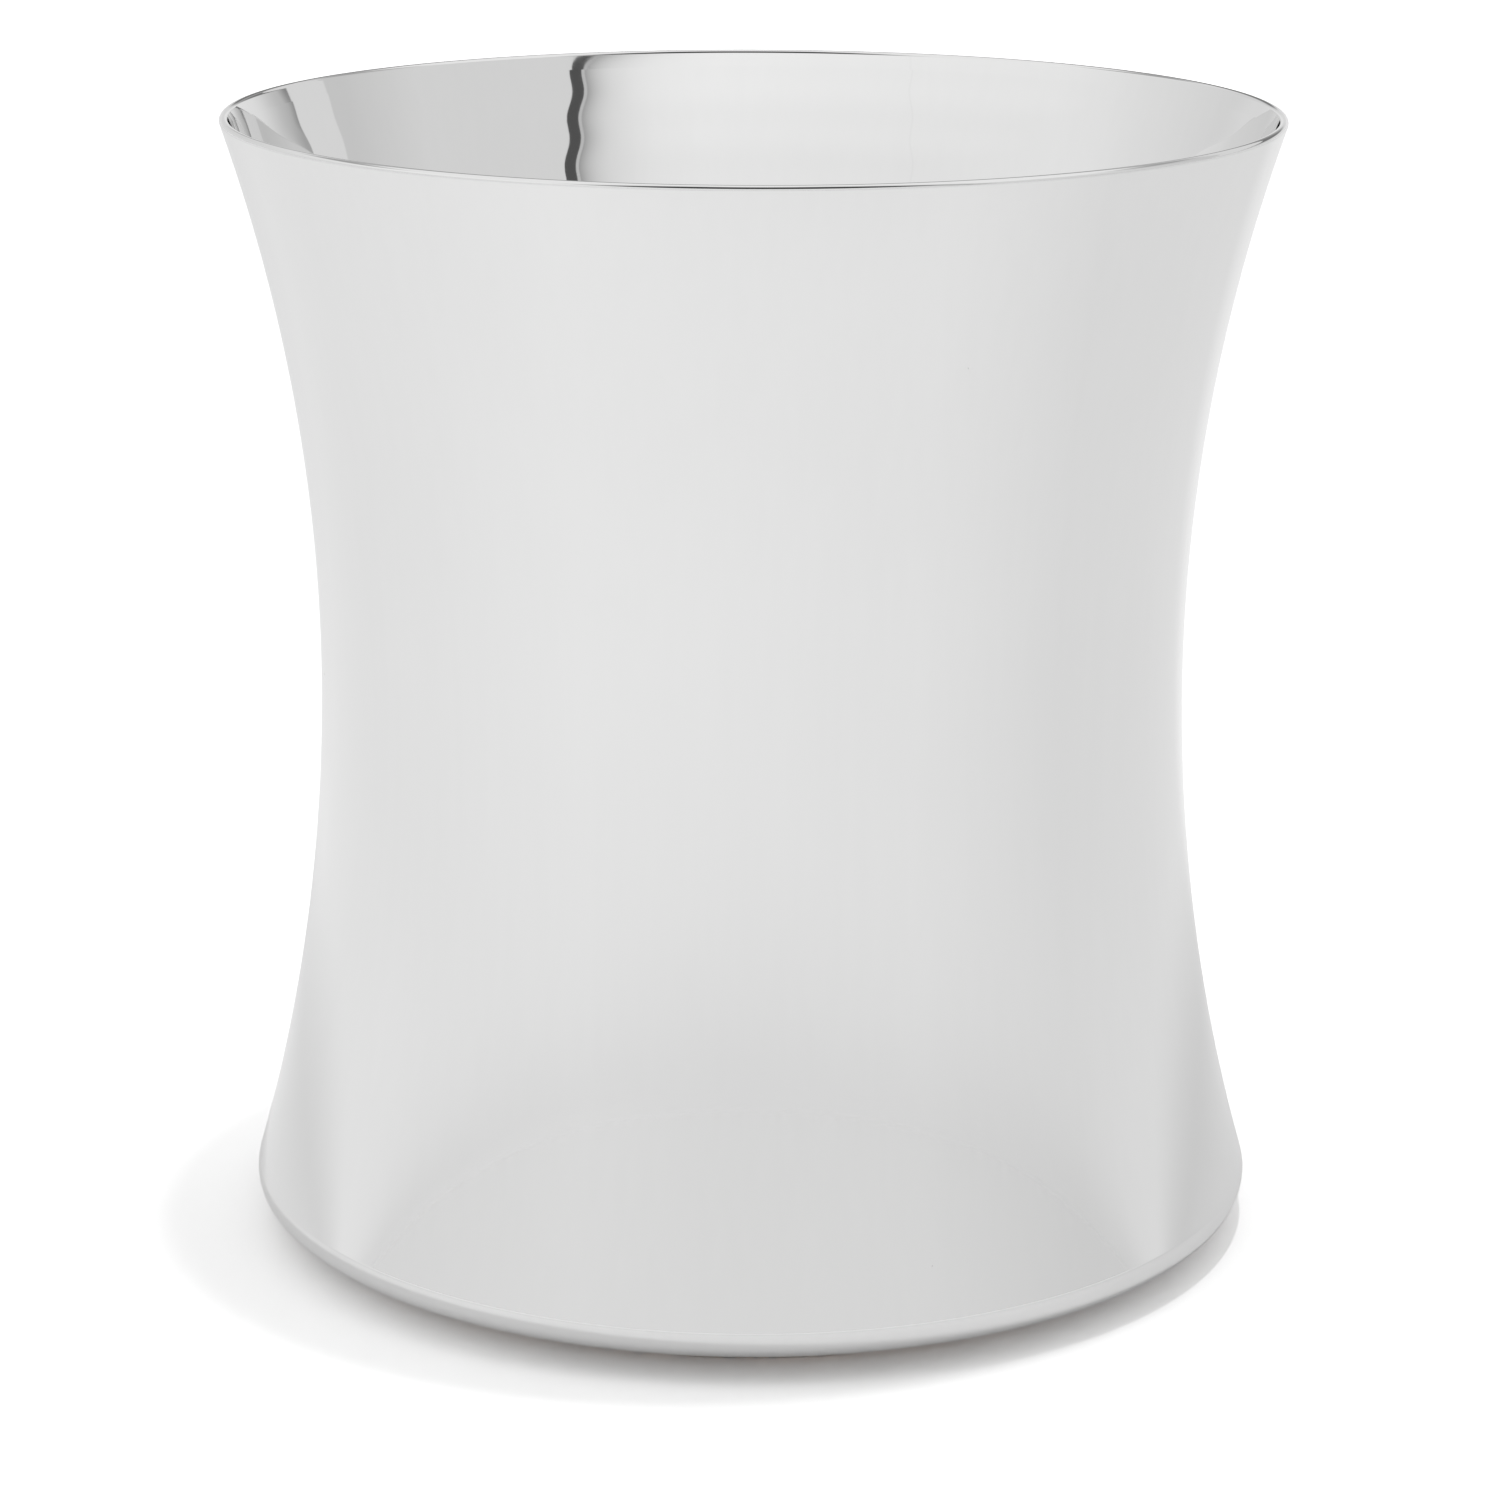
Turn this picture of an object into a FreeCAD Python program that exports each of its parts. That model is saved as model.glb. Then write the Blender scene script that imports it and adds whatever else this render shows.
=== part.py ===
"""Double-walled silver champagne bucket: a waisted outer wall and a drawn liner joined at a round lip.

The outer wall is two spun drums that meet at the waist, because an hourglass can't come off a chuck whole.

Millimetres. +Z is up, the origin is on the table, on the bucket's axis, under the brown base pad.
Every piece is turned about the axis, so each one is a closed outline in the r-z half plane, revolved.
"""
import FreeCAD
import Part
import math
import os

from FreeCAD import Vector

# ---- driving dimensions -------------------------------------------------------------------------
RIM_RADIUS = 107.0          # outermost point of the round lip
OVERALL_HEIGHT = 232.0      # table to the top of the lip
PAD_STAND = 4.4             # how far the pad holds the shell off the table
WAIST_RADIUS = 89.2         # outside, at the narrowest level
WAIST_ABOVE_SHELL = 115.0   # height of that level above the shell's underside
BASE_RADIUS = 104.9         # outside, at the widest level of the foot
BASE_CORNER = 5.6           # outside radius where the wall turns in under the foot

SHEET = 0.9                 # gauge of the outer wall, the liner and the base plate
LIP_RADIUS = SHEET          # the lip is as thick as the two sheets together
RIM_DEPTH = 3.0             # the lip's wire reaches this far down the wall
BAND_HALF_HEIGHT = 6.0      # backing band behind the waist seam
FLANGE_RADIUS = 94.0        # the turned-in flange under the foot ends here

LINER_RADIUS = 84.2         # inside, on the straight stretch
LINER_FLOOR = 20.0          # inside floor above the table
LINER_CORNER = 20.0         # inside radius between wall and floor

PLATE_RADIUS = 97.5         # base plate, soldered on top of the flange
PLATE_SWAGE_RADIUS = 80.0   # middle of the pressed stiffening ring
PLATE_SWAGE_HEIGHT = 1.8
PLATE_SWAGE_WIDTH = 9.0
VENT_RADIUS = 3.0           # vent hole in the middle of the plate

SPACER_RADIUS = 66.0        # foam block between plate and liner floor
SPACER_BORE = 15.0
SPACER_EDGE = 2.0

PLUG_HEAD_RADIUS = 5.0
PLUG_HEAD = 1.2
PLUG_BARB_RADIUS = 3.6
PLUG_BARB = 2.4
PLUG_BARB_TIP = 2.2

FILM = 0.2                  # adhesive film above the pad
FILM_MARGIN = 1.0
PAD_RADIUS = 91.0
PAD_BOTTOM_EDGE = 0.8       # bevel round the pad's underside
PAD_TOP_EDGE = 0.4
PAD_POCKET_RADIUS = 6.5     # pocket that clears the plug's head
PAD_POCKET_SPARE = 0.4

# ---- levels and places worked out from them -----------------------------------------------------
SHELL_BASE = PAD_STAND
WAIST_Z = SHELL_BASE + WAIST_ABOVE_SHELL
LIP_R = RIM_RADIUS - LIP_RADIUS
LIP_Z = OVERALL_HEIGHT - LIP_RADIUS
CORNER_R = BASE_RADIUS - BASE_CORNER
CORNER_Z = SHELL_BASE + BASE_CORNER
PLATE_BOTTOM = SHELL_BASE + SHEET
PLATE_TOP = PLATE_BOTTOM + SHEET
PAD_TOP = PLATE_BOTTOM - FILM
LINER_UNDERSIDE = LINER_FLOOR - SHEET


# ---- outline helpers ----------------------------------------------------------------------------
def on_circle(centre, radius, angle):
    """The point at an angle on a circle in the r-z plane, as an (r, z) pair."""
    return (centre[0] + radius * math.cos(angle), centre[1] + radius * math.sin(angle))


def to_vector(point):
    return Vector(point[0], 0, point[1])


def line(start, end):
    return Part.LineSegment(to_vector(start), to_vector(end)).toShape()


def arc(centre, radius, start_angle, end_angle):
    """An arc edge from one angle to the other, either way round."""
    angles = (start_angle, (start_angle + end_angle) / 2, end_angle)
    points = [to_vector(on_circle(centre, radius, angle)) for angle in angles]
    return Part.Arc(*points).toShape()


def chain(*points):
    """Straight edges through the points in order."""
    return [line(start, end) for start, end in zip(points, points[1:])]


def revolve(edges):
    """A solid of revolution about Z from the edges of a closed outline."""
    face = Part.Face(Part.Wire(Part.__sortEdges__(edges)))
    solid = face.revolve(Vector(0, 0, 0), Vector(0, 0, 1), 360)
    if not solid.isValid() or solid.Volume <= 0:
        raise ValueError("outline doesn't make a valid solid")
    return solid


def turned(*points):
    """A solid of revolution from the corner points of a closed outline."""
    return revolve(chain(*points, points[0]))


# ---- the waisted wall ---------------------------------------------------------------------------
def waist_arc(end_r, end_z, end_radius):
    """The arc that leaves the waist vertically and is tangent to a round at the wall's end.

    Returns the arc's centre, its radius, and the angle at its centre towards the end.
    """
    across = end_r - WAIST_RADIUS
    along = end_z - WAIST_Z
    radius = (across ** 2 + along ** 2 - end_radius ** 2) / (2 * (end_radius + across))
    centre = (WAIST_RADIUS + radius, WAIST_Z)
    return centre, radius, math.atan2(along, end_r - centre[0])


UPPER_CENTRE, UPPER_RADIUS, LIP_ANGLE = waist_arc(LIP_R, LIP_Z, LIP_RADIUS)
LOWER_CENTRE, LOWER_RADIUS, CORNER_ANGLE = waist_arc(CORNER_R, CORNER_Z, BASE_CORNER)
CORNER_ANGLE += 2 * math.pi
SEAM_ANGLE = LIP_ANGLE + RIM_DEPTH / UPPER_RADIUS     # where both sheets meet the lip's wire
WAIST_ANGLE = math.pi
DOWN = 1.5 * math.pi


def upper_shell():
    """Spun upper drum of the outer wall, from the waist to the lip's wire."""
    inner_radius = UPPER_RADIUS + SHEET
    return revolve([
        arc(UPPER_CENTRE, UPPER_RADIUS, SEAM_ANGLE, WAIST_ANGLE),
        line((WAIST_RADIUS, WAIST_Z), (WAIST_RADIUS - SHEET, WAIST_Z)),
        arc(UPPER_CENTRE, inner_radius, WAIST_ANGLE, SEAM_ANGLE),
        line(on_circle(UPPER_CENTRE, inner_radius, SEAM_ANGLE),
             on_circle(UPPER_CENTRE, UPPER_RADIUS, SEAM_ANGLE)),
    ])


def lower_shell():
    """Spun lower drum, from the waist to the foot, turned in under the foot to a flat flange."""
    corner_start = CORNER_ANGLE + math.pi
    flange_top = SHELL_BASE + SHEET
    outside = [
        arc(LOWER_CENTRE, LOWER_RADIUS, WAIST_ANGLE, CORNER_ANGLE),
        arc((CORNER_R, CORNER_Z), BASE_CORNER, corner_start, DOWN),
    ]
    flange = chain(
        (CORNER_R, SHELL_BASE), (FLANGE_RADIUS, SHELL_BASE),
        (FLANGE_RADIUS, flange_top), (CORNER_R, flange_top))
    inside = [
        arc((CORNER_R, CORNER_Z), BASE_CORNER - SHEET, DOWN, corner_start),
        arc(LOWER_CENTRE, LOWER_RADIUS + SHEET, CORNER_ANGLE, WAIST_ANGLE),
    ]
    seam = line((WAIST_RADIUS - SHEET, WAIST_Z), (WAIST_RADIUS, WAIST_Z))
    return revolve(outside + flange + inside + [seam])


def waist_band():
    """Backing band soldered inside the waist seam. It follows the curve of both drums."""
    above = WAIST_ANGLE - BAND_HALF_HEIGHT / UPPER_RADIUS
    below = WAIST_ANGLE + BAND_HALF_HEIGHT / LOWER_RADIUS
    upper_back = UPPER_RADIUS + SHEET
    lower_back = LOWER_RADIUS + SHEET
    return revolve([
        arc(UPPER_CENTRE, upper_back, above, WAIST_ANGLE),
        arc(LOWER_CENTRE, lower_back, WAIST_ANGLE, below),
        line(on_circle(LOWER_CENTRE, lower_back, below), on_circle(LOWER_CENTRE, lower_back + SHEET, below)),
        arc(LOWER_CENTRE, lower_back + SHEET, below, WAIST_ANGLE),
        arc(UPPER_CENTRE, upper_back + SHEET, WAIST_ANGLE, above),
        line(on_circle(UPPER_CENTRE, upper_back + SHEET, above), on_circle(UPPER_CENTRE, upper_back, above)),
    ])


def rim_wire():
    """Solid D-section wire: round on top, as thick as both sheets, which butt against it below."""
    inner_radius = UPPER_RADIUS + 2 * LIP_RADIUS
    return revolve([
        arc((LIP_R, LIP_Z), LIP_RADIUS, LIP_ANGLE - math.pi, LIP_ANGLE),
        arc(UPPER_CENTRE, inner_radius, LIP_ANGLE, SEAM_ANGLE),
        line(on_circle(UPPER_CENTRE, inner_radius, SEAM_ANGLE),
             on_circle(UPPER_CENTRE, UPPER_RADIUS, SEAM_ANGLE)),
        arc(UPPER_CENTRE, UPPER_RADIUS, SEAM_ANGLE, LIP_ANGLE),
    ])


def liner_flare():
    """The liner's arc: in line with the wire where it meets it, vertical where the straight part starts.

    Returns the arc's centre and its inside radius.
    """
    lean = WAIST_ANGLE - SEAM_ANGLE
    mouth_r, mouth_z = on_circle(UPPER_CENTRE, UPPER_RADIUS + 2 * SHEET, SEAM_ANGLE)
    radius = (mouth_r - LINER_RADIUS) / (1 - math.cos(lean))
    return (LINER_RADIUS + radius, mouth_z - radius * math.sin(lean)), radius


def inner_liner():
    """Drawn cup: flared mouth, straight wall and a round corner to a flat floor."""
    centre, radius = liner_flare()
    corner_centre = (LINER_RADIUS - LINER_CORNER, LINER_FLOOR + LINER_CORNER)
    outside_radius = LINER_RADIUS + SHEET
    inside = [
        arc(centre, radius, SEAM_ANGLE, WAIST_ANGLE),
        line((LINER_RADIUS, centre[1]), (LINER_RADIUS, corner_centre[1])),
        arc(corner_centre, LINER_CORNER, 0, -math.pi / 2),
        line((corner_centre[0], LINER_FLOOR), (0, LINER_FLOOR)),
    ]
    outside = [
        line((0, LINER_UNDERSIDE), (corner_centre[0], LINER_UNDERSIDE)),
        arc(corner_centre, LINER_CORNER + SHEET, -math.pi / 2, 0),
        line((outside_radius, corner_centre[1]), (outside_radius, centre[1])),
        arc(centre, radius - SHEET, WAIST_ANGLE, SEAM_ANGLE),
    ]
    axis = line((0, LINER_FLOOR), (0, LINER_UNDERSIDE))
    mouth_edge = line(on_circle(centre, radius, SEAM_ANGLE), on_circle(centre, radius - SHEET, SEAM_ANGLE))
    return revolve(inside + [axis] + outside + [mouth_edge])


def base_plate():
    """Pressed disc that closes the cavity, with a stiffening ring and a vent hole in the middle."""
    half_width = PLATE_SWAGE_WIDTH / 2
    slope = PLATE_SWAGE_HEIGHT
    inner_foot = PLATE_SWAGE_RADIUS - half_width
    inner_crown = inner_foot + slope
    outer_foot = PLATE_SWAGE_RADIUS + half_width
    outer_crown = outer_foot - slope
    raised_bottom = PLATE_BOTTOM + PLATE_SWAGE_HEIGHT
    raised_top = PLATE_TOP + PLATE_SWAGE_HEIGHT
    return turned(
        (VENT_RADIUS, PLATE_BOTTOM), (inner_foot, PLATE_BOTTOM), (inner_crown, raised_bottom),
        (outer_crown, raised_bottom), (outer_foot, PLATE_BOTTOM), (PLATE_RADIUS, PLATE_BOTTOM),
        (PLATE_RADIUS, PLATE_TOP), (outer_foot, PLATE_TOP), (outer_crown, raised_top),
        (inner_crown, raised_top), (inner_foot, PLATE_TOP), (VENT_RADIUS, PLATE_TOP))


def floor_spacer():
    """Rigid foam block: carries the ice and bottle from the liner's floor to the base plate."""
    return turned(
        (SPACER_BORE, PLATE_TOP), (SPACER_RADIUS - SPACER_EDGE, PLATE_TOP),
        (SPACER_RADIUS, PLATE_TOP + SPACER_EDGE), (SPACER_RADIUS, LINER_UNDERSIDE - SPACER_EDGE),
        (SPACER_RADIUS - SPACER_EDGE, LINER_UNDERSIDE), (SPACER_BORE, LINER_UNDERSIDE))


def vent_plug():
    """Push-in plug that seals the cavity: head under the plate, stem in the hole, barb above it."""
    head_bottom = PLATE_BOTTOM - PLUG_HEAD
    return turned(
        (0, head_bottom), (PLUG_HEAD_RADIUS, head_bottom), (PLUG_HEAD_RADIUS, PLATE_BOTTOM),
        (VENT_RADIUS, PLATE_BOTTOM), (VENT_RADIUS, PLATE_TOP), (PLUG_BARB_RADIUS, PLATE_TOP),
        (PLUG_BARB_TIP, PLATE_TOP + PLUG_BARB), (0, PLATE_TOP + PLUG_BARB))


def pad_adhesive():
    """Double-sided film between the pad and the base plate."""
    film_radius = PAD_RADIUS - FILM_MARGIN
    return turned(
        (PAD_POCKET_RADIUS, PAD_TOP), (film_radius, PAD_TOP),
        (film_radius, PLATE_BOTTOM), (PAD_POCKET_RADIUS, PLATE_BOTTOM))


def base_pad():
    """Brown cork-rubber pad the bucket stands on, set back under the rounded foot."""
    pocket_floor = PLATE_BOTTOM - PLUG_HEAD - PAD_POCKET_SPARE
    return turned(
        (0, 0), (PAD_RADIUS - PAD_BOTTOM_EDGE, 0), (PAD_RADIUS, PAD_BOTTOM_EDGE),
        (PAD_RADIUS, PAD_TOP - PAD_TOP_EDGE), (PAD_RADIUS - PAD_TOP_EDGE, PAD_TOP),
        (PAD_POCKET_RADIUS, PAD_TOP), (PAD_POCKET_RADIUS, pocket_floor), (0, pocket_floor))


PIECES = [
    upper_shell, lower_shell, waist_band, rim_wire, inner_liner,
    base_plate, floor_spacer, vent_plug, pad_adhesive, base_pad,
]

os.makedirs("parts", exist_ok=True)
for piece in PIECES:
    shape = piece()
    shape.exportStep("parts/" + piece.__name__ + ".step")
    box = shape.optimalBoundingBox()
    print("%-13s volume %8.0f mm3  r %6.2f  z %6.2f to %6.2f"
          % (piece.__name__, shape.Volume, box.XMax, box.ZMin, box.ZMax))
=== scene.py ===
"""Looks of the silver champagne bucket: polished silver, a cork pad and the studio they reflect.

Metres, in the CAD frame: +Z up, the origin on the table under the middle of the base pad.
"""
import bpy
import math
import numpy as np
from mathutils import Matrix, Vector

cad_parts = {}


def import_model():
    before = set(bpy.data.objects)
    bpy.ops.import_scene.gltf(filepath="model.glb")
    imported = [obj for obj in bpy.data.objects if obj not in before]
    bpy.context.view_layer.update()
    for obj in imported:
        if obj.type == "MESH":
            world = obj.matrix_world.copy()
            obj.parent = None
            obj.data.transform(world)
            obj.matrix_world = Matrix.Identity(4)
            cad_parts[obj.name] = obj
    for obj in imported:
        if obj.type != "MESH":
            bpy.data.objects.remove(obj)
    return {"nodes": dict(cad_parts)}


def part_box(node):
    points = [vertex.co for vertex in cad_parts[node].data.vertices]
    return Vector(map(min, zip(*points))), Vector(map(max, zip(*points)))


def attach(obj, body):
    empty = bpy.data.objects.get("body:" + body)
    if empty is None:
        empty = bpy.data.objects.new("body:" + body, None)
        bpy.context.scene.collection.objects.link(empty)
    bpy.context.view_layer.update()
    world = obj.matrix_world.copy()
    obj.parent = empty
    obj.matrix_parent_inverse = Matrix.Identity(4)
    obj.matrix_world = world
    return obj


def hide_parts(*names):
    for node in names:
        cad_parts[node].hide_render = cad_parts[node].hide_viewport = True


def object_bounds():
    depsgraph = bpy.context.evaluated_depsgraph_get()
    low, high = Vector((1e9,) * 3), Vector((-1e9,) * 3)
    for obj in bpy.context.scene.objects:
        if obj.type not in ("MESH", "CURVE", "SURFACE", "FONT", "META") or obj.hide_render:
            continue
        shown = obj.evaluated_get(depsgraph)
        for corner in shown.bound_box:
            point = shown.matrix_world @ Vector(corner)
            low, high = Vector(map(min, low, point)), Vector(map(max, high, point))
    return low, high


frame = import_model()
CAD_LOW, CAD_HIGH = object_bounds()
MM = 0.001

# ---- sizes read from the frame ------------------------------------------------------------------
RIM_RADIUS = CAD_HIGH.x
OVERALL_HEIGHT = CAD_HIGH.z
SHELL_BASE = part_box("lower_shell")[0].z
BASE_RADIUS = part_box("lower_shell")[1].x
WAIST_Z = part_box("upper_shell")[0].z
LINER_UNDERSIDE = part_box("inner_liner")[0].z
PAD_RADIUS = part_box("base_pad")[1].x
PAD_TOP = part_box("base_pad")[1].z
PLATE_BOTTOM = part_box("base_plate")[0].z
PLATE_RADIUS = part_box("base_plate")[1].x

# ---- sizes that the frame's boxes don't hold, as in the CAD source ------------------------------
WAIST_RADIUS = 89.2 * MM
BASE_CORNER = 5.6 * MM
SHEET = 0.9 * MM
LIP_RADIUS = SHEET
RIM_DEPTH = 3.0 * MM
FLANGE_RADIUS = 94.0 * MM
LINER_RADIUS = 84.2 * MM
LINER_CORNER = 20.0 * MM
SWAGE_RADIUS = 80.0 * MM
SWAGE_HEIGHT = 1.8 * MM
SWAGE_WIDTH = 9.0 * MM
VENT_RADIUS = 3.0 * MM
POCKET_RADIUS = 6.5 * MM
POCKET_FLOOR = 3.7 * MM

# ---- ripples that spinning leaves in the liner --------------------------------------------------
RIPPLE_LENGTH = 10.5 * MM
RIPPLE_HEIGHT = 0.014 * MM  # to each side of the smooth surface
RIPPLE_PHASE = -3.09
RIPPLE_SWAY = 0.2           # share by which they grow on one side of the cup and shrink on the other

# ---- worked out from the sizes above ------------------------------------------------------------
LIP_R = RIM_RADIUS - LIP_RADIUS
LIP_Z = OVERALL_HEIGHT - LIP_RADIUS
CORNER_R = BASE_RADIUS - BASE_CORNER
CORNER_Z = SHELL_BASE + BASE_CORNER
LINER_FLOOR = LINER_UNDERSIDE + SHEET

# ---- fineness of the meshes ---------------------------------------------------------------------
SEGMENTS = 360              # steps round every turned piece
WALL_STEP = 1.5 * MM        # spacing of the rings on the long curves
FINE_STEP = 0.8 * MM        # spacing at the mouth, the lip's flanks and the foot's corner
FLOOR_STEP = 6.0 * MM       # spacing on the liner's flat floor
LIP_STEP = 0.1 * MM         # spacing round the lip
FEWEST_STEPS = 8            # on even the shortest round run
MERGE_DIGITS = 8            # points that agree to this many decimals of a metre share their ring
NUDGE = 1e-5                # distance along an outline over which a ripple's slope is taken
TURN_NUDGE = 1e-3           # angle over which its lean is taken


# ---- outlines -----------------------------------------------------------------------------------
def on_circle(centre, radius, angle):
    """The point at an angle on a circle in the r-z plane."""
    return np.array([centre[0] + radius * math.cos(angle), centre[1] + radius * math.sin(angle)])


def line(start, end, step=None):
    """A straight run of an outline: its points and their normals, on the right of its direction."""
    start = np.array(start, float)
    end = np.array(end, float)
    length = np.linalg.norm(end - start)
    count = max(1, round(length / step)) if step else 1
    shares = np.linspace(0, 1, count + 1)[:, None]
    along = (end - start) / length
    normals = np.tile([along[1], -along[0]], (count + 1, 1))
    return start + shares * (end - start), normals


def arc(centre, radius, start_angle, end_angle, step=WALL_STEP):
    """A round run of an outline, from one angle to the other, either way round."""
    count = max(FEWEST_STEPS, round(abs(end_angle - start_angle) * radius / step))
    angles = np.linspace(start_angle, end_angle, count + 1)
    outward = np.column_stack([np.cos(angles), np.sin(angles)])
    side = math.copysign(1, end_angle - start_angle)
    return np.array(centre) + radius * outward, side * outward


def chain(*points):
    """Straight runs through the points in order."""
    return [line(start, end) for start, end in zip(points, points[1:])]


# ---- lathe --------------------------------------------------------------------------------------
def turned(name, runs, material, nodes, wobble=None):
    """A piece turned about Z from the runs of a closed outline, drawn with the metal on their left.

    Each run keeps its own normals, so runs that meet at an angle meet in a crisp edge.
    wobble(travel, turn) lifts the surface along its normal, as the tool marks of spinning do.
    """
    turns = np.arange(SEGMENTS) * 2 * math.pi / SEGMENTS
    cosines = np.cos(turns)
    sines = np.sin(turns)
    vertices, faces, normals = [], [], []
    rings = {}

    def ring(point, shift):
        """The numbers of the vertices round one point of the outline."""
        key = (round(point[0], MERGE_DIGITS), round(point[1], MERGE_DIGITS))
        if key not in rings:
            first = len(vertices)
            if key[0] == 0:
                vertices.append((0, 0, point[1]))
                rings[key] = np.full(SEGMENTS, first)
            else:
                radius = point[0] + shift[:, 0]
                height = point[1] + shift[:, 1]
                vertices.extend(zip(radius * cosines, radius * sines, height))
                rings[key] = np.arange(first, first + SEGMENTS)
        return rings[key]

    travelled = 0.0
    for points, flat_normals in runs:
        steps = np.linalg.norm(np.diff(points, axis=0), axis=1)
        travel = travelled + np.concatenate([[0], np.cumsum(steps)])
        travelled = travel[-1]
        numbers, directions = [], []
        for point, normal, at in zip(points, flat_normals, travel):
            lift = np.zeros(SEGMENTS)
            slope = np.zeros(SEGMENTS)
            lean = np.zeros(SEGMENTS)
            if wobble:
                lift = wobble(at, turns)
                slope = (wobble(at + NUDGE, turns) - wobble(at - NUDGE, turns)) / (2 * NUDGE)
                turning = wobble(at, turns + TURN_NUDGE) - wobble(at, turns - TURN_NUDGE)
                lean = turning / (2 * TURN_NUDGE) / max(point[0], MM)
            tangent = np.array([-normal[1], normal[0]])
            numbers.append(ring(point, lift[:, None] * normal))
            across = normal[0] - slope * tangent[0]
            up = normal[1] - slope * tangent[1]
            direction = np.column_stack([
                across * cosines + lean * sines, across * sines - lean * cosines, up])
            directions.append(direction / np.linalg.norm(direction, axis=1)[:, None])
        strips = zip(numbers, numbers[1:], directions, directions[1:])
        for below, above, down_normal, up_normal in strips:
            for j in range(SEGMENTS):
                k = (j + 1) % SEGMENTS
                corners = [(below[j], down_normal[j]), (below[k], down_normal[k]),
                           (above[k], up_normal[k]), (above[j], up_normal[j])]
                if below[j] == below[k]:
                    corners.pop(1)
                elif above[j] == above[k]:
                    corners.pop(3)
                faces.append([int(number) for number, _ in corners])
                normals.extend(direction for _, direction in corners)

    mesh = bpy.data.meshes.new(name)
    mesh.from_pydata(vertices, [], faces)
    mesh.polygons.foreach_set("use_smooth", [True] * len(faces))
    mesh.normals_split_custom_set(np.array(normals))
    mesh.materials.append(material)
    piece = bpy.data.objects.new(name, mesh)
    bpy.context.scene.collection.objects.link(piece)
    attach(piece, "root")
    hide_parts(*nodes)
    return piece


# ---- the waisted wall's curves ------------------------------------------------------------------
def waist_arc(end_r, end_z, end_radius):
    """The arc that leaves the waist vertically and is tangent to a round at the wall's end."""
    across = end_r - WAIST_RADIUS
    along = end_z - WAIST_Z
    radius = (across ** 2 + along ** 2 - end_radius ** 2) / (2 * (end_radius + across))
    centre = (WAIST_RADIUS + radius, WAIST_Z)
    return centre, radius, math.atan2(along, end_r - centre[0])


UPPER_CENTRE, UPPER_RADIUS, LIP_ANGLE = waist_arc(LIP_R, LIP_Z, LIP_RADIUS)
LOWER_CENTRE, LOWER_RADIUS, CORNER_ANGLE = waist_arc(CORNER_R, CORNER_Z, BASE_CORNER)
CORNER_ANGLE += 2 * math.pi
SEAM_ANGLE = LIP_ANGLE + RIM_DEPTH / UPPER_RADIUS
WAIST_ANGLE = math.pi
BOTTOM_ANGLE = -math.pi / 2


def upper_wall(material):
    """Upper drum of the outer wall, from the waist to the lip's wire."""
    back = UPPER_RADIUS + SHEET
    outside = arc(UPPER_CENTRE, UPPER_RADIUS, WAIST_ANGLE, SEAM_ANGLE)
    top = line(
        on_circle(UPPER_CENTRE, UPPER_RADIUS, SEAM_ANGLE), on_circle(UPPER_CENTRE, back, SEAM_ANGLE))
    inside = arc(UPPER_CENTRE, back, SEAM_ANGLE, WAIST_ANGLE)
    seam = line((WAIST_RADIUS - SHEET, WAIST_Z), (WAIST_RADIUS, WAIST_Z))
    runs = [outside, top, inside, seam]
    return turned("silver_upper_wall", runs, material, ["upper_shell"])


def lower_wall(material):
    """Lower drum: the waist, the swelling foot, the rounded corner and the flange under it."""
    corner = (CORNER_R, CORNER_Z)
    corner_start = CORNER_ANGLE - math.pi
    flange_top = SHELL_BASE + SHEET
    runs = [
        arc(corner, BASE_CORNER, BOTTOM_ANGLE, corner_start, FINE_STEP),
        arc(LOWER_CENTRE, LOWER_RADIUS, CORNER_ANGLE, WAIST_ANGLE),
        line((WAIST_RADIUS, WAIST_Z), (WAIST_RADIUS - SHEET, WAIST_Z)),
        arc(LOWER_CENTRE, LOWER_RADIUS + SHEET, WAIST_ANGLE, CORNER_ANGLE),
        arc(corner, BASE_CORNER - SHEET, corner_start, BOTTOM_ANGLE, FINE_STEP),
    ]
    runs += chain(
        (CORNER_R, flange_top), (FLANGE_RADIUS, flange_top), (FLANGE_RADIUS, SHELL_BASE),
        (CORNER_R, SHELL_BASE))
    return turned("silver_lower_wall", runs, material, ["lower_shell"])


def lip(material):
    """Round lip and the wire's flanks, down to the seam with both sheets."""
    inner = UPPER_RADIUS + 2 * LIP_RADIUS
    runs = [
        arc(UPPER_CENTRE, UPPER_RADIUS, SEAM_ANGLE, LIP_ANGLE, FINE_STEP),
        arc((LIP_R, LIP_Z), LIP_RADIUS, LIP_ANGLE - math.pi, LIP_ANGLE, LIP_STEP),
        arc(UPPER_CENTRE, inner, LIP_ANGLE, SEAM_ANGLE, FINE_STEP),
        line(on_circle(UPPER_CENTRE, inner, SEAM_ANGLE),
             on_circle(UPPER_CENTRE, UPPER_RADIUS, SEAM_ANGLE)),
    ]
    return turned("silver_lip", runs, material, ["rim_wire"])


def ripples(travel, turns):
    """Shallow rings left by spinning, about a hundredth of a millimetre to each side."""
    ring = math.sin(2 * math.pi * travel / RIPPLE_LENGTH + RIPPLE_PHASE)
    return RIPPLE_HEIGHT * ring * (1 + RIPPLE_SWAY * np.cos(turns))


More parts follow.
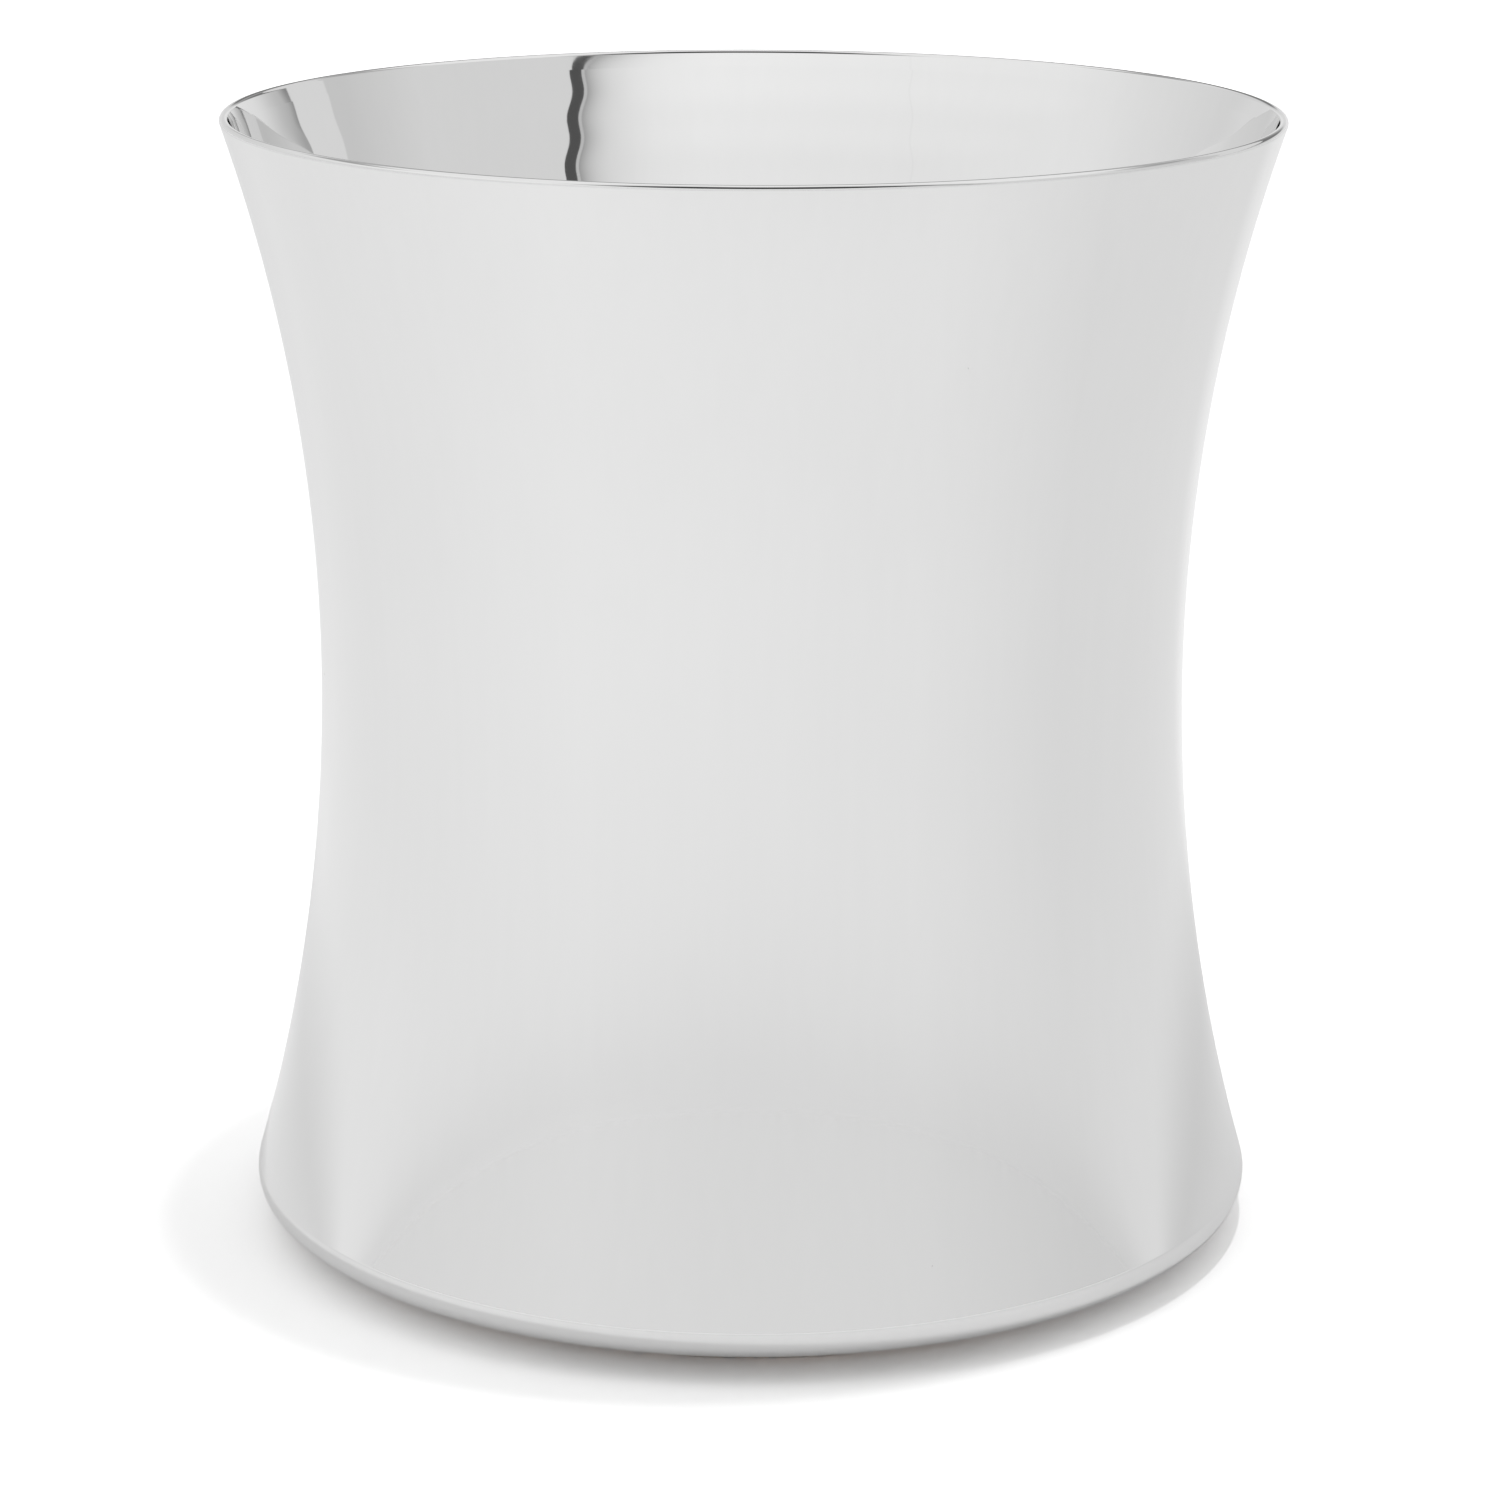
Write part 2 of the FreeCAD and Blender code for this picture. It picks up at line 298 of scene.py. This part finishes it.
def liner(material):
    """Drawn cup: flared mouth, straight wall, round corner and floor, with the spinning's ripples."""
    lean = WAIST_ANGLE - SEAM_ANGLE
    mouth = on_circle(UPPER_CENTRE, UPPER_RADIUS + 2 * SHEET, SEAM_ANGLE)
    radius = (mouth[0] - LINER_RADIUS) / (1 - math.cos(lean))
    centre = (LINER_RADIUS + radius, mouth[1] - radius * math.sin(lean))
    corner = (LINER_RADIUS - LINER_CORNER, LINER_FLOOR + LINER_CORNER)
    outside_radius = LINER_RADIUS + SHEET
    runs = [
        arc(centre, radius, SEAM_ANGLE, WAIST_ANGLE, FINE_STEP),
        line((LINER_RADIUS, centre[1]), (LINER_RADIUS, corner[1]), WALL_STEP),
        arc(corner, LINER_CORNER, 0, BOTTOM_ANGLE),
        line((corner[0], LINER_FLOOR), (0, LINER_FLOOR), FLOOR_STEP),
        line((0, LINER_UNDERSIDE), (corner[0], LINER_UNDERSIDE)),
        arc(corner, LINER_CORNER + SHEET, BOTTOM_ANGLE, 0),
        line((outside_radius, corner[1]), (outside_radius, centre[1])),
        arc(centre, radius - SHEET, WAIST_ANGLE, SEAM_ANGLE),
        line(on_circle(centre, radius - SHEET, SEAM_ANGLE), on_circle(centre, radius, SEAM_ANGLE)),
    ]
    return turned("silver_liner", runs, material, ["inner_liner"], ripples)


def plate(material):
    """Pressed base plate: flat, with a raised stiffening ring and a vent hole."""
    half = SWAGE_WIDTH / 2
    top = PLATE_BOTTOM + SHEET
    feet = (SWAGE_RADIUS - half, SWAGE_RADIUS + half)
    crowns = (feet[0] + SWAGE_HEIGHT, feet[1] - SWAGE_HEIGHT)
    runs = chain(
        (VENT_RADIUS, PLATE_BOTTOM), (feet[0], PLATE_BOTTOM),
        (crowns[0], PLATE_BOTTOM + SWAGE_HEIGHT), (crowns[1], PLATE_BOTTOM + SWAGE_HEIGHT),
        (feet[1], PLATE_BOTTOM), (PLATE_RADIUS, PLATE_BOTTOM), (PLATE_RADIUS, top), (feet[1], top),
        (crowns[1], top + SWAGE_HEIGHT), (crowns[0], top + SWAGE_HEIGHT), (feet[0], top),
        (VENT_RADIUS, top), (VENT_RADIUS, PLATE_BOTTOM))
    return turned("steel_base_plate", runs, material, ["base_plate"])


def pad(material):
    """Cork-rubber pad with rounded edges and the pocket that clears the plug's head."""
    edge = 0.8 * MM
    top_edge = edge / 2
    step = edge / 6
    runs = chain((0, 0), (PAD_RADIUS - edge, 0))
    runs.append(arc((PAD_RADIUS - edge, edge), edge, BOTTOM_ANGLE, 0, step))
    runs += chain((PAD_RADIUS, edge), (PAD_RADIUS, PAD_TOP - top_edge))
    runs.append(arc((PAD_RADIUS - top_edge, PAD_TOP - top_edge), top_edge, 0, math.pi / 2, step))
    runs += chain(
        (PAD_RADIUS - top_edge, PAD_TOP), (POCKET_RADIUS, PAD_TOP),
        (POCKET_RADIUS, POCKET_FLOOR), (0, POCKET_FLOOR))
    return turned("cork_base_pad", runs, material, ["base_pad"])


# ---- node helpers -------------------------------------------------------------------------------
def feed(tree, socket, value):
    """Sets an input to a number or a colour, or links it to another node's output."""
    if isinstance(value, bpy.types.NodeSocket):
        tree.links.new(value, socket)
    else:
        socket.default_value = value


def maths(tree, operation, *values):
    """One step of arithmetic on numbers or sockets."""
    made = tree.nodes.new("ShaderNodeMath")
    made.operation = operation
    for socket, value in zip(made.inputs, values):
        feed(tree, socket, value)
    return made.outputs[0]


def plus(tree, first, second):
    return maths(tree, "ADD", first, second)


def minus(tree, first, second):
    return maths(tree, "SUBTRACT", first, second)


def times(tree, first, second):
    return maths(tree, "MULTIPLY", first, second)


def over(tree, first, second):
    return maths(tree, "DIVIDE", first, second)


def power(tree, value, exponent):
    return maths(tree, "POWER", value, exponent)


def past(tree, value, edge, width):
    """0 before an edge and 1 after it, with a smooth step of the given width between."""
    made = tree.nodes.new("ShaderNodeMapRange")
    made.interpolation_type = "SMOOTHSTEP"
    feed(tree, made.inputs["Value"], value)
    made.inputs["From Min"].default_value = edge - width / 2
    made.inputs["From Max"].default_value = edge + width / 2
    return made.outputs["Result"]


def before(tree, value, edge, width):
    """1 before an edge and 0 after it."""
    return minus(tree, 1, past(tree, value, edge, width))


def spread(tree, value, low, high, result_low, result_high):
    """Moves a value in a straight line from one range to another, and stops at its ends."""
    made = tree.nodes.new("ShaderNodeMapRange")
    feed(tree, made.inputs["Value"], value)
    for socket, number in zip(made.inputs[1:5], (low, high, result_low, result_high)):
        socket.default_value = number
    return made.outputs["Result"]


def blend(tree, share, first, second):
    """Numbers or colours mixed: the first at share 0, the second at share 1.

    The Mix node has a set of sockets for each type of data, so they are picked by number.
    """
    colours = isinstance(first, tuple) or isinstance(second, tuple)
    made = tree.nodes.new("ShaderNodeMix")
    made.data_type = "RGBA" if colours else "FLOAT"
    first_input, second_input, result = (6, 7, 2) if colours else (2, 3, 0)
    feed(tree, made.inputs[0], share)
    feed(tree, made.inputs[first_input], first)
    feed(tree, made.inputs[second_input], second)
    return made.outputs[result]


def tones(tree, value, low, high, stops):
    """Grey tones along a value, from (value, tone) stops; times 1 makes the colour a number."""
    made = tree.nodes.new("ShaderNodeValToRGB")
    feed(tree, made.inputs["Fac"], spread(tree, value, low, high, 0, 1))
    elements = made.color_ramp.elements
    while len(elements) < len(stops):
        elements.new(0.5)
    for element, (at, tone) in zip(elements, stops):
        element.position = (at - low) / (high - low)
        element.color = (tone, tone, tone, 1)
    return times(tree, made.outputs["Color"], 1)


def parts(tree, vector):
    """A vector's x, y and z."""
    made = tree.nodes.new("ShaderNodeSeparateXYZ")
    feed(tree, made.inputs[0], vector)
    return made.outputs


def joined(tree, x, y, z):
    """A vector, or a colour, from its three numbers."""
    made = tree.nodes.new("ShaderNodeCombineXYZ")
    for socket, value in zip(made.inputs, (x, y, z)):
        feed(tree, socket, value)
    return made.outputs[0]


def place(tree, kind="Object"):
    """Where a point is on its piece, in metres, or with "Generated" a direction in the world."""
    return tree.nodes.new("ShaderNodeTexCoord").outputs[kind]


def noise(tree, vector, scale, detail=2.0):
    """Clouds, with a scale in repeats per unit of the vector."""
    made = tree.nodes.new("ShaderNodeTexNoise")
    feed(tree, made.inputs["Vector"], vector)
    made.inputs["Scale"].default_value = scale
    made.inputs["Detail"].default_value = detail
    return made.outputs["Fac"]


def cells(tree, vector, scale, output="Distance"):
    """Cells, with a scale in repeats per unit: the distance to a cell's middle, or its own colour."""
    made = tree.nodes.new("ShaderNodeTexVoronoi")
    feed(tree, made.inputs["Vector"], vector)
    made.inputs["Scale"].default_value = scale
    return made.outputs[output]


def bump(tree, shader, height, depth):
    """Fine relief, of a depth in metres."""
    made = tree.nodes.new("ShaderNodeBump")
    made.inputs["Strength"].default_value = 1
    made.inputs["Distance"].default_value = depth
    feed(tree, made.inputs["Height"], height)
    feed(tree, shader.inputs["Normal"], made.outputs["Normal"])


def new_material(name, metallic=0.0):
    """An empty node material, its tree and its Principled shader."""
    material = bpy.data.materials.new(name)
    material.use_nodes = True
    shader = material.node_tree.nodes["Principled BSDF"]
    shader.inputs["Metallic"].default_value = metallic
    return material, material.node_tree, shader


# ---- materials ----------------------------------------------------------------------------------
NOISE_RANGE = (0.3, 0.7)    # what most of a noise falls between
STREAK_RANGE = (0.2, 0.8)   # the same, for coarser noise

def silver(name, haze):
    """Mirror-polished silver: cloudy patches, hairlines up the wall and a few dull specks."""
    hairs_round = 400
    hairs_up = 12
    cloud_scale = 14.0
    speck_scale = 38.0
    speck_size = 0.012
    speck_haze = 0.3
    dull = (0.6, 0.6, 0.6, 1)
    warmth = 0.998              # share of blue in the metal's tone
    material, tree, shader = new_material(name, 1.0)
    point = place(tree)
    x, y, z = parts(tree, point)
    stretched = joined(
        tree, times(tree, x, hairs_round), times(tree, y, hairs_round), times(tree, z, hairs_up))
    hairs = noise(tree, stretched, 1.0, 3.0)
    clouds = noise(tree, point, cloud_scale, 3.0)
    speck = maths(tree, "LESS_THAN", cells(tree, point, speck_scale), speck_size)
    bright = spread(tree, clouds, *NOISE_RANGE, 0.853, 0.867)
    bright = times(tree, bright, spread(tree, hairs, *NOISE_RANGE, 0.996, 1.004))
    tone = joined(tree, bright, bright, times(tree, bright, warmth))
    feed(tree, shader.inputs["Base Color"], blend(tree, speck, tone, dull))
    hair_haze = spread(tree, hairs, *NOISE_RANGE, haze, haze * 1.5)
    feed(tree, shader.inputs["Roughness"], plus(tree, hair_haze, times(tree, speck, speck_haze)))
    return material


def sheet_metal(name, tone, haze):
    """Unpolished sheet or band: rolling streaks and clouds."""
    streaks_across = 900
    streaks_along = 20
    cloud_scale = 25.0
    warmth = 0.99
    material, tree, shader = new_material(name, 1.0)
    point = place(tree)
    x, y, z = parts(tree, point)
    stretched = joined(tree, times(tree, x, streaks_across), times(tree, y, streaks_along), z)
    streaks = noise(tree, stretched, 1.0)
    clouds = noise(tree, point, cloud_scale)
    bright = times(tree, spread(tree, streaks, *STREAK_RANGE, 0.92, 1.04),
                   spread(tree, clouds, *NOISE_RANGE, tone * 0.96, tone * 1.04))
    colour = joined(tree, bright, bright, times(tree, bright, warmth))
    feed(tree, shader.inputs["Base Color"], colour)
    rough = spread(tree, streaks, *STREAK_RANGE, haze * 0.8, haze * 1.3)
    feed(tree, shader.inputs["Roughness"], rough)
    bump(tree, shader, streaks, 0.01 * MM)
    return material


def cork():
    """Cork and rubber granules pressed together: tan and dark grains a millimetre or two across."""
    grains = 650.0
    pits = 2500.0
    dark_from = 0.72            # cells whose own number is past this are rubber
    # painted shade and light: the tan is darker where the fine relief sinks and lighter where it
    # rises
    painted_pit_shade_tan = (0.19, 0.115, 0.075, 1)
    painted_raised_light_tan = (0.36, 0.25, 0.18, 1)
    pale_tan = (0.42, 0.31, 0.24, 1)
    rubber = (0.06, 0.045, 0.04, 1)
    material, tree, shader = new_material("cork_rubber")
    point = place(tree)
    grain = cells(tree, point, grains, "Color")
    fleck = maths(tree, "GREATER_THAN", parts(tree, grain)[0], dark_from)
    fine = noise(tree, point, pits, 4.0)
    # the fine relief's pits get the painted shade tan and its raised bits the painted light tan
    tan = blend(tree, spread(tree, fine, *NOISE_RANGE, 0, 1), painted_pit_shade_tan, painted_raised_light_tan)
    pale = blend(tree, parts(tree, grain)[1], tan, pale_tan)
    feed(tree, shader.inputs["Base Color"], blend(tree, fleck, pale, rubber))
    feed(tree, shader.inputs["Roughness"], spread(tree, fine, *NOISE_RANGE, 0.75, 0.95))
    relief = plus(tree, cells(tree, point, grains), times(tree, fine, 0.4))
    bump(tree, shader, relief, 0.25 * MM)
    return material


def soft(name, low, high, scale, roughness, depth):
    """Foam, rubber or glue film: two near tones in cells and clouds."""
    material, tree, shader = new_material(name)
    point = place(tree)
    clouds = noise(tree, point, scale, 4.0)
    pores = cells(tree, point, scale * 2)
    feed(tree, shader.inputs["Base Color"], blend(tree, clouds, low, high))
    roughest = min(1.0, roughness * 1.2)
    feed(tree, shader.inputs["Roughness"], spread(tree, pores, 0.0, 0.8, roughness, roughest))
    bump(tree, shader, plus(tree, pores, clouds), depth)
    return material


# ---- the studio ---------------------------------------------------------------------------------
# Azimuths run from the camera's side, at 0, through the right, at 90; elevations are above the
# floor; both are in degrees. An edge is given to past and before by its place and the width of its
# soft step. Brightness 1 is the white of the finished picture.
# The studio is what the silver reflects: panels, gaps and paper of different tones, chosen
# to suit the photograph. To the camera itself the paper and the world are plain white (see
# to_the_lens), so these tones show only in reflections and as light.
HORIZON = (
    (-180, 0.80), (-155, 0.75), (-137, 0.78), (-113, 0.765), (-80, 0.78), (-40, 0.812), (0, 0.78),
    (40, 0.765), (80, 0.69), (110, 0.70), (140, 0.72), (150, 0.80), (165, 0.84), (180, 0.80))
DIFFUSERS = (
    (-180, 0.72), (-147, 0.72), (-135, 0.745), (-120, 0.79), (-105, 0.83), (-93, 0.875), (-80, 0.895),
    (-57, 0.885), (-40, 0.88), (-20, 0.885), (0, 0.895), (12, 0.90), (25, 0.88), (33, 0.845),
    (180, 0.845))
BACK_RIGHT = ((120, 0.38), (130, 0.40), (135, 0.52), (141, 0.60), (147, 0.68), (180, 0.72))
ROOM_LIGHT = 0.68           # light that the diffusers give the open floor
KEY_LIGHT = 0.14            # light that the softbox adds right under it
KEY_HEIGHT = 4.4
KEY_PLACE = (0.27, 0.03)    # of the softbox, right of the bucket's middle and behind it
KEY_SIZE = (0.2, 0.12)
PICTURE_WHITE = 1.27        # the paper's brightness to the lens, past 1 to clear it to pure white
WORLD_WHITE = 1.05          # the world's brightness to the lens
PAINTED_RING_LIGHT = 0.10           # painted light added to the paper's colour close round the foot, as reflections show it
RING_EDGE = (0.18, 0.12)    # where that ends, and the width of its soft edge, in metres
PAINTED_POOL_LIGHT = 0.125          # painted light added to the paper's colour further out
POOL_EDGE = (0.30, 0.16)    # where that starts, and the width of its soft edge, in metres
POOL_FALL = 0.75            # distance at which it has fallen to half
FLOOR_REACH = 40.0          # half the width of the paper

# The camera was solved from the photo's outline: metres, degrees and millimetres of lens.
CAMERA_PLACE = (-0.00038, -0.8978, 0.34565)
CAMERA_TILT = 15.4          # below level
CAMERA_ROLL = 0.1657
CAMERA_LENS = 106.84
CAMERA_SENSOR = 36


def bearing(tree, x, y):
    """Azimuth in degrees, of a direction or of a place on the floor."""
    return maths(tree, "DEGREES", maths(tree, "ARCTAN2", x, times(tree, y, -1)))


def panels(tree, azimuth, elevation):
    """The diffuser panels' own brightness, a little more toward their tops, with one thin seam."""
    lean = 0.25
    seam_left = -46.1
    seam_right = -45.7
    crisp = 0.3
    wall = tones(tree, azimuth, -180, 180, DIFFUSERS)
    wall = plus(tree, wall, spread(tree, elevation, 19, 30, -0.015, 0.07))
    hanging = minus(tree, azimuth, times(tree, elevation, lean))
    seam = minus(tree, past(tree, hanging, seam_left, crisp), past(tree, hanging, seam_right, crisp))
    return minus(tree, wall, times(tree, seam, 0.035))


def slit(tree, azimuth, elevation, wall):
    """A dark leaning slit between two panels, curled at its top; the left panel fades toward it."""
    stated_at = 22.5            # the elevation where its edges' azimuths hold
    lean = 0.45
    curl_from = 26.5
    curl = 1.3
    left = 43.6
    core = 44.4
    right = 47.3
    crisp = 0.15
    fade_width = 4.2
    fade_depth = 0.57
    edge_tone = 0.55
    core_tone = 0.09
    leaning = plus(tree, azimuth, times(tree, minus(tree, elevation, stated_at), lean))
    above = maths(tree, "MAXIMUM", minus(tree, elevation, curl_from), 0)
    leaning = plus(tree, leaning, times(tree, power(tree, above, 2), curl))
    nearness = maths(tree, "MINIMUM", over(tree, minus(tree, leaning, left), fade_width), 0)
    fade = maths(tree, "EXPONENT", nearness)
    wall = times(tree, wall, minus(tree, 1, times(tree, fade, fade_depth)))
    wall = blend(tree, past(tree, leaning, left, crisp), wall, edge_tone)
    wall = blend(tree, past(tree, leaning, core, crisp), wall, core_tone)
    next_panel = spread(tree, azimuth, 87, 111, 0.73, 0.625)
    return blend(tree, past(tree, leaning, right, crisp), wall, next_panel)


def back_right(tree, azimuth, elevation, wall):
    """Three stretches of wall right of the bucket and behind it; the first two have leaning edges."""
    crisp = 0.8
    first_lean = 0.85
    first_edge = 105.5
    second_lean = 2.2
    second_edge = 110.5
    sloping = minus(tree, azimuth, times(tree, elevation, first_lean))
    wall = blend(tree, past(tree, sloping, first_edge, crisp), wall, 0.75)
    gap = tones(tree, azimuth, 120, 180, BACK_RIGHT)
    gap = times(tree, gap, spread(tree, elevation, 8.5, 10.3, 1.0, 0.3))
    steeper = minus(tree, azimuth, times(tree, elevation, second_lean))
    wall = blend(tree, past(tree, steeper, second_edge, crisp), wall, gap)
    return blend(tree, past(tree, azimuth, 166, 20), wall, 0.73)


def room(tree, azimuth, elevation):
    """The studio's brightness round the table: horizon, panels, doorway, ceiling and its openings."""
    panel_foot = 12
    foot_drop = 6               # how much lower the panels behind the bucket reach
    doorway_tone = 0.15
    ceiling_tone = 0.9
    opening_tone = 0.07
    band_tone = 0.4
    wall = panels(tree, azimuth, elevation)
    wall = slit(tree, azimuth, elevation, wall)
    wall = back_right(tree, azimuth, elevation, wall)

    side = maths(tree, "ABSOLUTE", azimuth)
    behind = past(tree, side, 108, 12)
    raised = plus(tree, elevation, times(tree, behind, foot_drop))
    far = tones(tree, azimuth, -180, 180, HORIZON)
    value = blend(tree, past(tree, raised, panel_foot, 4), far, wall)

    doorway = times(tree, past(tree, side, 168, 16), past(tree, elevation, panel_foot, 5))
    value = blend(tree, doorway, value, doorway_tone)
    ceiling = past(tree, elevation, 34, 4)
    value = blend(tree, ceiling, value, ceiling_tone)
    over_camera = times(tree, past(tree, azimuth, -39, 24), before(tree, azimuth, 47, 24))
    opening = times(tree, past(tree, elevation, 32, 4), before(tree, elevation, 77, 12))
    value = blend(tree, times(tree, over_camera, opening), value, opening_tone)
    band = times(tree, past(tree, elevation, 34, 7), before(tree, elevation, 44, 7))
    return blend(tree, times(tree, past(tree, side, 100, 24), band), value, band_tone)


def to_the_lens(tree, value, white):
    """A plain white to camera rays, and the value to every other ray."""
    lens = tree.nodes.new("ShaderNodeLightPath").outputs["Is Camera Ray"]
    return blend(tree, lens, value, white)


def studio():
    """The room as the world's light, plain white to the camera itself."""
    world = bpy.data.worlds.new("studio")
    bpy.context.scene.world = world
    world.use_nodes = True
    tree = world.node_tree
    x, y, z = parts(tree, place(tree, "Generated"))
    elevation = maths(tree, "DEGREES", maths(tree, "ARCSINE", z))
    value = to_the_lens(tree, room(tree, bearing(tree, x, y), elevation), WORLD_WHITE)
    feed(tree, tree.nodes["Background"].inputs["Color"], joined(tree, value, value, value))


def paper_tone(tree, x, y, distance):
    """The paper's painted brightness: the horizon's tones by bearing, lifted by painted light close
    round the foot and further out.
    """
    # painted pool of light further out, fading with distance
    falling = plus(tree, 1, power(tree, over(tree, distance, POOL_FALL), 3))
    painted_pool = times(tree, over(tree, PAINTED_POOL_LIGHT, falling), past(tree, distance, *POOL_EDGE))
    # painted light and shade by bearing: the horizon's tones in the paper's colour
    tone = plus(tree, tones(tree, bearing(tree, x, y), -180, 180, HORIZON), painted_pool)
    # painted light: a brighter ring painted into the paper's colour close round the foot
    tone = plus(tree, tone, times(tree, before(tree, distance, *RING_EDGE), PAINTED_RING_LIGHT))
    return to_the_lens(tree, tone, PICTURE_WHITE)


def light_on_floor(tree, distance):
    """The light that falls on the open floor: the diffusers' and the softbox's."""
    away = plus(tree, 1, power(tree, over(tree, distance, KEY_HEIGHT), 2))
    return plus(tree, ROOM_LIGHT, over(tree, KEY_LIGHT, power(tree, away, 2)))


def floor():
    """Paper whose colour is its wanted brightness, divided by the light that falls on it, so the
    tones and lifts in that colour are painted light.
    """
    material = bpy.data.materials.new("white_paper")
    material.use_nodes = True
    tree = material.node_tree
    tree.nodes.remove(tree.nodes["Principled BSDF"])
    paper = tree.nodes.new("ShaderNodeBsdfDiffuse")
    tree.links.new(paper.outputs[0], tree.nodes["Material Output"].inputs["Surface"])
    point = place(tree)
    x, y, _ = parts(tree, point)
    distance = maths(tree, "SQRT", plus(tree, power(tree, x, 2), power(tree, y, 2)))
    tone = over(tree, paper_tone(tree, x, y, distance), light_on_floor(tree, distance))
    fibre = noise(tree, point, 800.0, 3.0)
    tone = times(tree, tone, spread(tree, fibre, *NOISE_RANGE, 0.998, 1.002))
    feed(tree, paper.inputs["Color"], joined(tree, tone, tone, tone))
    mesh = bpy.data.meshes.new("floor")
    corners = [(FLOOR_REACH * across, FLOOR_REACH * back, 0)
               for across, back in ((-1, -1), (1, -1), (1, 1), (-1, 1))]
    mesh.from_pydata(corners, [], [(0, 1, 2, 3)])
    mesh.materials.append(material)
    sheet = bpy.data.objects.new("floor", mesh)
    bpy.context.scene.collection.objects.link(sheet)


def softbox():
    """Key light high over the bucket, a little to the right, which shows only in what it lights."""
    data = bpy.data.lights.new("softbox", "AREA")
    data.shape = "RECTANGLE"
    data.size, data.size_y = KEY_SIZE
    data.energy = KEY_LIGHT * (math.pi * KEY_HEIGHT) ** 2
    lamp = bpy.data.objects.new("softbox", data)
    lamp.visible_glossy = False
    lamp.location = (*KEY_PLACE, KEY_HEIGHT)
    bpy.context.scene.collection.objects.link(lamp)


def camera():
    """The photograph's view: 107 mm lens, 0.9 m in front and 0.35 m above the table."""
    data = bpy.data.cameras.new("camera")
    data.lens = CAMERA_LENS
    data.sensor_width = CAMERA_SENSOR
    data.clip_start = 0.05
    data.clip_end = 100
    eye = bpy.data.objects.new("camera", data)
    eye.matrix_world = (
        Matrix.Translation(CAMERA_PLACE)
        @ Matrix.Rotation(math.radians(90 - CAMERA_TILT), 4, "X")
        @ Matrix.Rotation(math.radians(CAMERA_ROLL), 4, "Z"))
    bpy.context.scene.collection.objects.link(eye)
    bpy.context.scene.camera = eye


# ---- the scene ----------------------------------------------------------------------------------
polished = silver("polished_silver", 0.03)
upper_wall(polished)
lower_wall(polished)
lip(polished)
liner(silver("liner_silver", 0.02))
plate(sheet_metal("plate_steel", 0.6, 0.3))
pad(cork())
INNER_LOOKS = {
    "waist_band": sheet_metal("band_silver", 0.72, 0.25),
    "floor_spacer": soft(
        "foam", low=(0.62, 0.6, 0.55, 1), high=(0.8, 0.78, 0.72, 1),
        scale=500.0, roughness=0.8, depth=0.2 * MM),
    "vent_plug": soft(
        "black_rubber", low=(0.02, 0.02, 0.02, 1), high=(0.04, 0.04, 0.04, 1),
        scale=900.0, roughness=0.5, depth=0.02 * MM),
    "pad_adhesive": soft(
        "glue_film", low=(0.5, 0.42, 0.3, 1), high=(0.62, 0.55, 0.42, 1),
        scale=300.0, roughness=0.35, depth=0.02 * MM),
}
for name, look in INNER_LOOKS.items():
    slots = frame["nodes"][name].data.materials
    slots.clear()
    slots.append(look)
studio()
floor()
softbox()
camera()
bpy.context.scene.view_settings.view_transform = "Standard"
